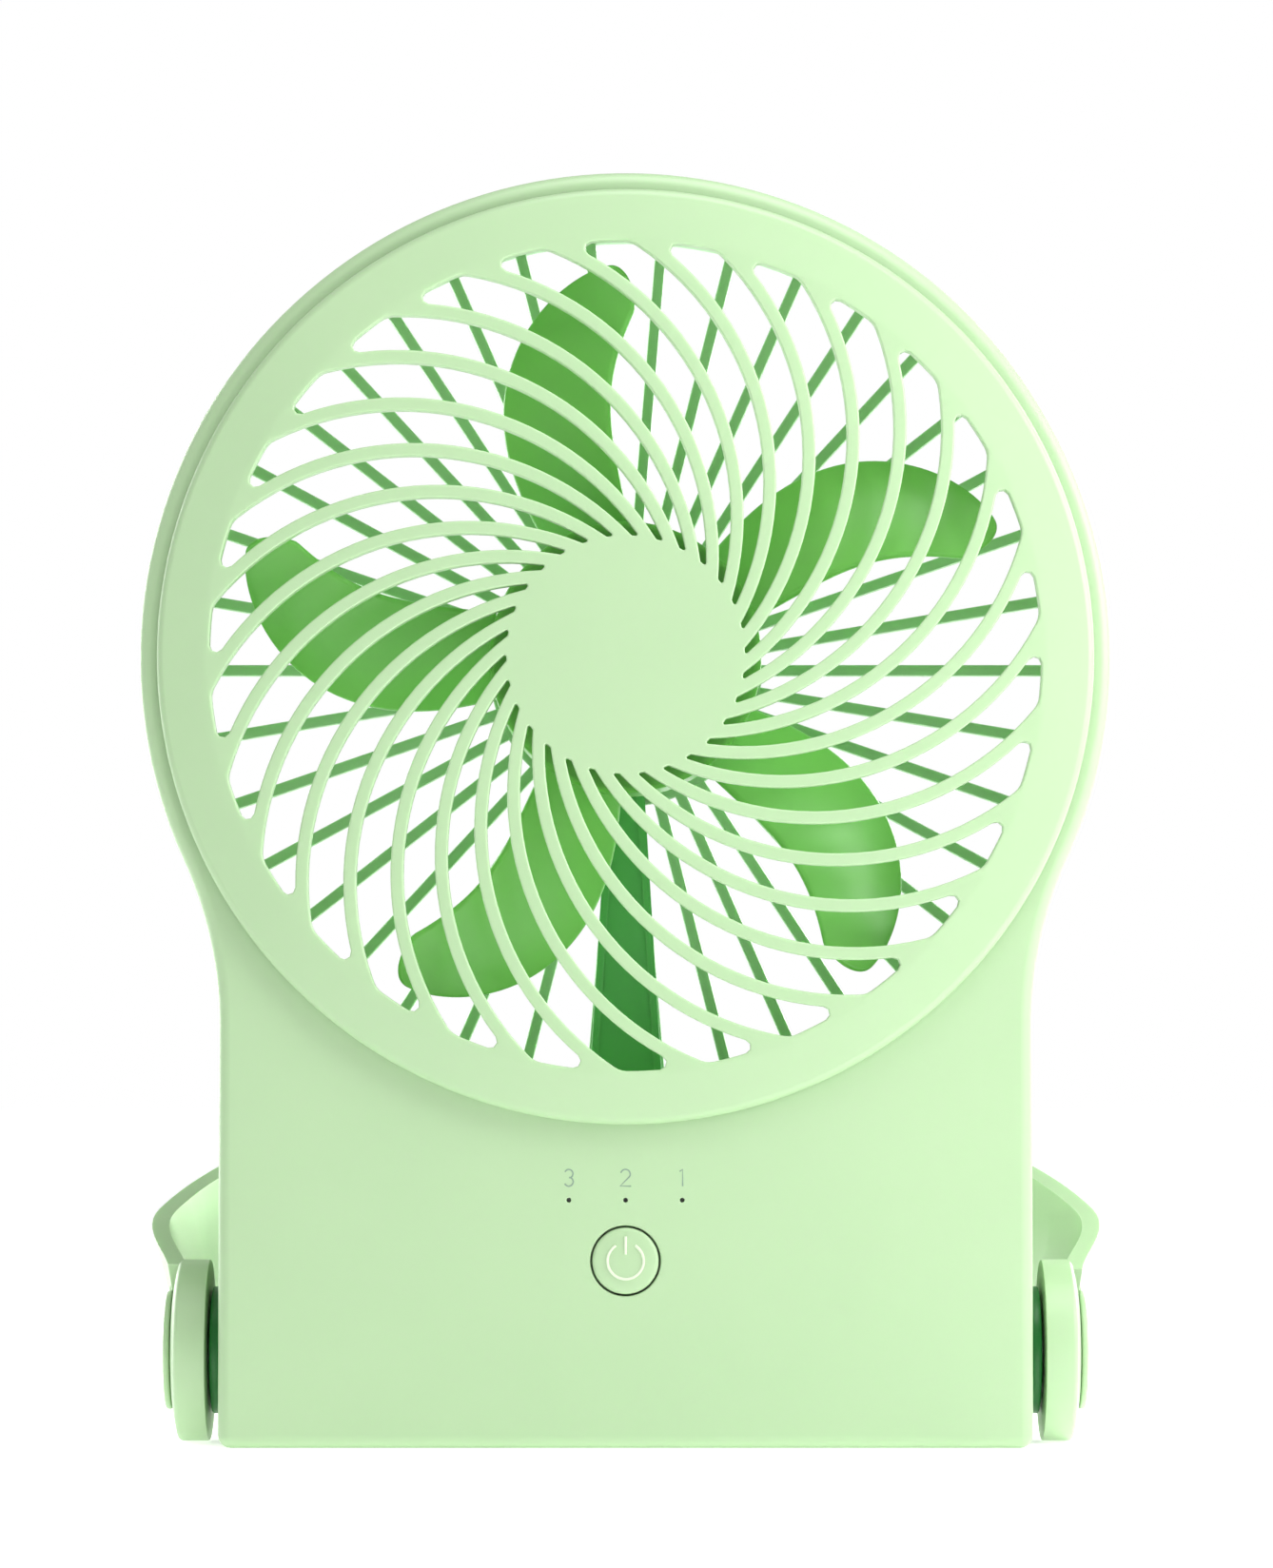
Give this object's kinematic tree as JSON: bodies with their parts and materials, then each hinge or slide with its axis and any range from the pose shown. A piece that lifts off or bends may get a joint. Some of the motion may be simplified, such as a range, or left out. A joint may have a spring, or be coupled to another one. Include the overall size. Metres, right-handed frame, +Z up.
{
  "type": "handheld electric fan",
  "caption": "Small battery fan with a round grilled head on a flat body, a push button, and a U-shaped stand that turns on the sides and serves as a handle.",
  "frame": {"origin": "middle of the flat base of the body, half-way through its thickness", "axes": "+X to the right as the front is seen, -Y out of the front grille, +Z up along the body"},
  "size_m": [0.114, 0.0712, 0.1492],
  "materials": {
    "mint_shell": "moulded ABS, satin, pale mint green",
    "green_grille": "moulded ABS, satin, green",
    "green_impeller": "moulded ABS, half gloss, mid green",
    "motor_steel": "drawn and plated steel",
    "screw_steel": "zinc-plated steel",
    "socket_steel": "bright plated steel shell",
    "nickel": "nickel strip",
    "lead_red": "soft PVC insulation",
    "lead_black": "soft PVC insulation",
    "board_lacquer": "glass-fibre board with solder mask",
    "dark_plastic": "black moulded nylon",
    "clear_guide": "clear moulded acrylic",
    "led_resin": "off-white moulded resin",
    "cell_wrap": "blue shrink sleeve over a steel can",
    "washer_plastic": "dark green acetal"
  },
  "bodies": {
    "body": {"front_shell": "mint_shell", "rear_shell": "mint_shell", "front_grille": "mint_shell", "rear_grille": "green_grille", "wire_cover": "green_grille", "motor_can": "motor_steel", "motor_lead_red": "lead_red", "motor_lead_black": "lead_black", "shell_screw_1": "screw_steel", "shell_screw_2": "screw_steel", "shell_screw_3": "screw_steel", "shell_screw_4": "screw_steel", "motor_screw_1": "screw_steel", "motor_screw_2": "screw_steel", "circuit_board": "board_lacquer", "tact_switch": "dark_plastic", "light_guide": "clear_guide", "led_1": "led_resin", "led_2": "led_resin", "led_3": "led_resin", "control_chip": "dark_plastic", "inductor": "dark_plastic", "battery_connector": "led_resin", "battery_cell": "cell_wrap", "battery_tab_left": "nickel", "battery_tab_right": "nickel", "charging_board": "board_lacquer", "charging_socket": "socket_steel", "charging_tongue": "dark_plastic", "pivot_pin_left": "screw_steel", "pivot_washer_left": "washer_plastic", "pivot_clip_left": "screw_steel", "pivot_pin_right": "screw_steel", "pivot_washer_right": "washer_plastic", "pivot_clip_right": "screw_steel"},
    "impeller": {"impeller": "green_impeller", "motor_shaft": "motor_steel"},
    "power_button": {"power_button": "mint_shell"},
    "stand": {"stand_loop": "mint_shell", "hub_cap_left": "mint_shell", "hub_cap_right": "mint_shell"}
  },
  "joints": [
    {"name": "impeller_spin", "type": "hinge", "parent": "body", "child": "impeller", "pos_m": [0, 0, 0.0923], "axis": [0, -1, 0], "continuous": true},
    {"name": "power_button_press", "type": "slide", "parent": "body", "child": "power_button", "axis": [0, 1, 0], "range_m": [0, 0.0005], "stiffness_N_per_m": 2000, "springref_m": -0.0001},
    {"name": "stand_tilt", "type": "hinge", "parent": "body", "child": "stand", "pos_m": [0, 0, 0.0108], "axis": [1, 0, 0], "range_deg": [-215, 10]}
  ]
}
